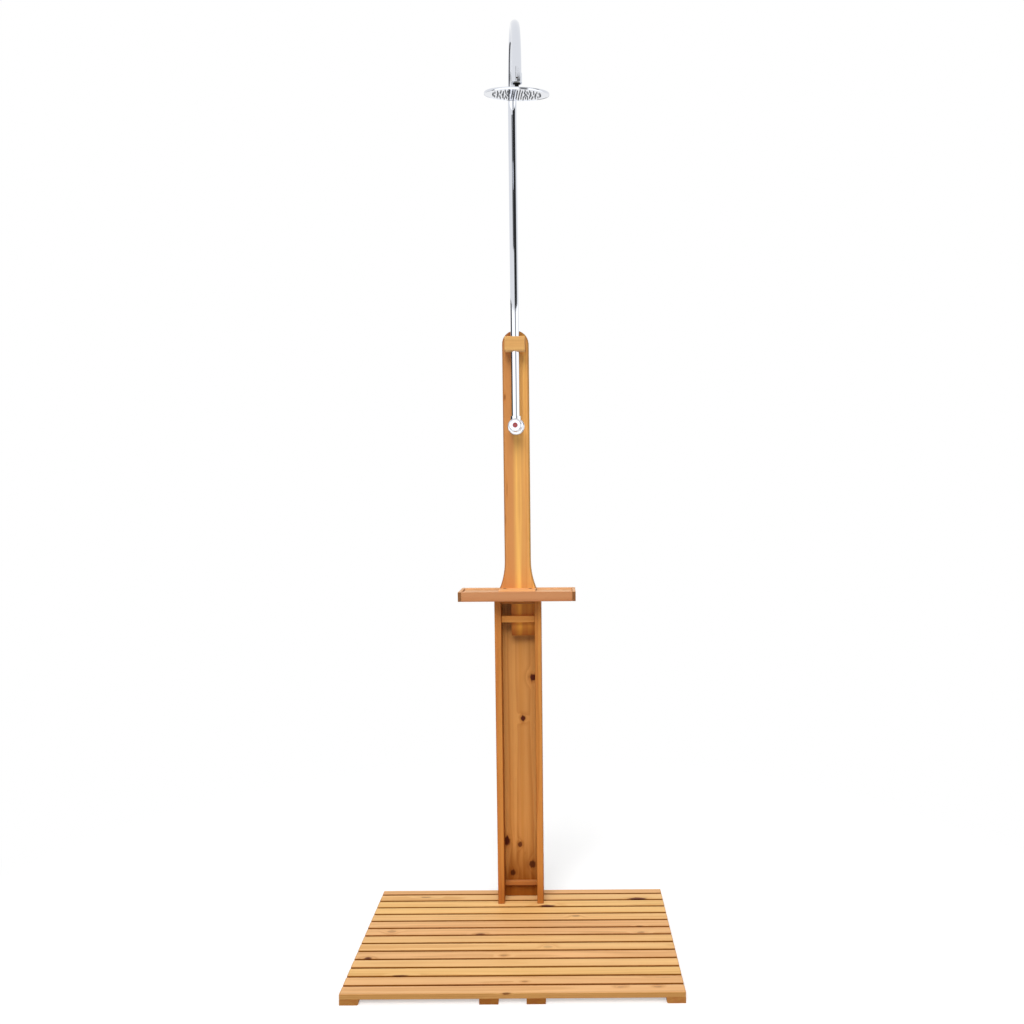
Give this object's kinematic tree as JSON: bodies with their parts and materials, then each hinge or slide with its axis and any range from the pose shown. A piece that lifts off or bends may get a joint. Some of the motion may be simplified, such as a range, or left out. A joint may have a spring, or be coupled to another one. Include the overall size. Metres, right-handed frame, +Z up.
{
  "type": "outdoor shower post",
  "caption": "Free-standing outdoor shower: slatted timber foot tray, open-fronted post with shelf, plank with a valve, and a swivelling chrome gooseneck with a rain head.",
  "frame": {"origin": "on the floor, under the middle of the foot tray", "axes": "+Z up the post, -Y to the front where the user stands and the gooseneck reaches, +X to the right seen from the front"},
  "size_m": [0.9, 0.64, 2.5914],
  "materials": {
    "deck_timber": "oiled softwood with knots, satin",
    "post_timber": "oiled softwood with knots, satin",
    "shelf_timber": "oiled softwood, satin",
    "plank_timber": "oiled softwood with fine upright grain, satin",
    "chrome": "polished chrome plate",
    "brass": "machined brass",
    "screw_steel": "dulled stainless steel",
    "black_plastic": "semi-gloss black acetal",
    "seat_plastic": "natural acetal",
    "rubber": "black rubber",
    "nozzle_rubber": "grey silicone rubber",
    "red_index": "dark red plastic disc"
  },
  "bodies": {
    "stand": {"slat_01": "deck_timber", "slat_02": "deck_timber", "slat_03": "deck_timber", "slat_04": "deck_timber", "slat_05": "deck_timber", "slat_06": "deck_timber", "slat_07": "deck_timber", "slat_08": "deck_timber", "slat_09": "deck_timber", "slat_10": "deck_timber", "slat_11": "deck_timber", "slat_12": "deck_timber", "slat_13": "deck_timber", "slat_rear": "deck_timber", "runner_left": "deck_timber", "runner_inner_left": "deck_timber", "runner_inner_right": "deck_timber", "runner_right": "deck_timber", "slat_screws": "screw_steel", "post_foot_screws": "screw_steel", "left_side_board": "post_timber", "right_side_board": "post_timber", "back_board": "post_timber", "lower_crosspiece": "post_timber", "upper_crosspiece": "post_timber", "shelf_bearer": "post_timber", "shelf_front_rail": "shelf_timber", "shelf_back_rail": "shelf_timber", "shelf_left_rail": "shelf_timber", "shelf_right_rail": "shelf_timber", "shelf_left_floor": "shelf_timber", "shelf_right_floor": "shelf_timber", "shelf_centre_board": "shelf_timber", "shelf_screws": "screw_steel", "upper_plank": "plank_timber", "frame_screws": "screw_steel", "block_screws": "screw_steel", "pipe_block": "plank_timber", "swivel_socket": "brass", "pipe_seals": "rubber", "supply_pipe": "chrome", "valve_flange": "chrome", "valve_body": "chrome", "tail_washer": "rubber", "tail_nut": "brass", "valve_cartridge": "brass"},
    "knob": {"valve_stem": "brass", "valve_knob": "chrome", "knob_index": "red_index", "knob_screw": "screw_steel"},
    "arm": {"riser_tube": "chrome", "arm_collar": "chrome", "collar_lock_screw": "screw_steel"},
    "pitch_ring": {"ball_lower_seat": "seat_plastic"},
    "roll_ring": {"ball_upper_seat": "seat_plastic"},
    "head": {"swivel_ball": "black_plastic", "head_shell": "chrome", "nozzle_plate": "chrome", "nozzle_mat": "nozzle_rubber", "head_seal": "rubber"}
  },
  "joints": [
    {"name": "valve_turn", "type": "hinge", "parent": "stand", "child": "knob", "pos_m": [0, 0.247, 1.521], "axis": [0, 1, 0], "range_deg": [0, 90]},
    {"name": "arm_swivel", "type": "hinge", "parent": "stand", "child": "arm", "pos_m": [0, 0.225, 1.7764], "axis": [0, 0, 1], "continuous": true},
    {"name": "head_pitch", "type": "hinge", "parent": "arm", "child": "pitch_ring", "pos_m": [0.02786, -0.11386, 2.3775], "axis": [0.9966, 0.0819, 0], "range_deg": [-30.5, 5.5]},
    {"name": "head_roll", "type": "hinge", "parent": "pitch_ring", "child": "roll_ring", "pos_m": [0.02786, -0.11386, 2.3775], "axis": [-0.08, 0.973, 0.2164], "range_deg": [-12, 12]},
    {"name": "head_spin", "type": "hinge", "parent": "roll_ring", "child": "head", "pos_m": [0.02786, -0.11386, 2.3775], "axis": [0.0177, -0.2157, 0.9763], "continuous": true}
  ]
}
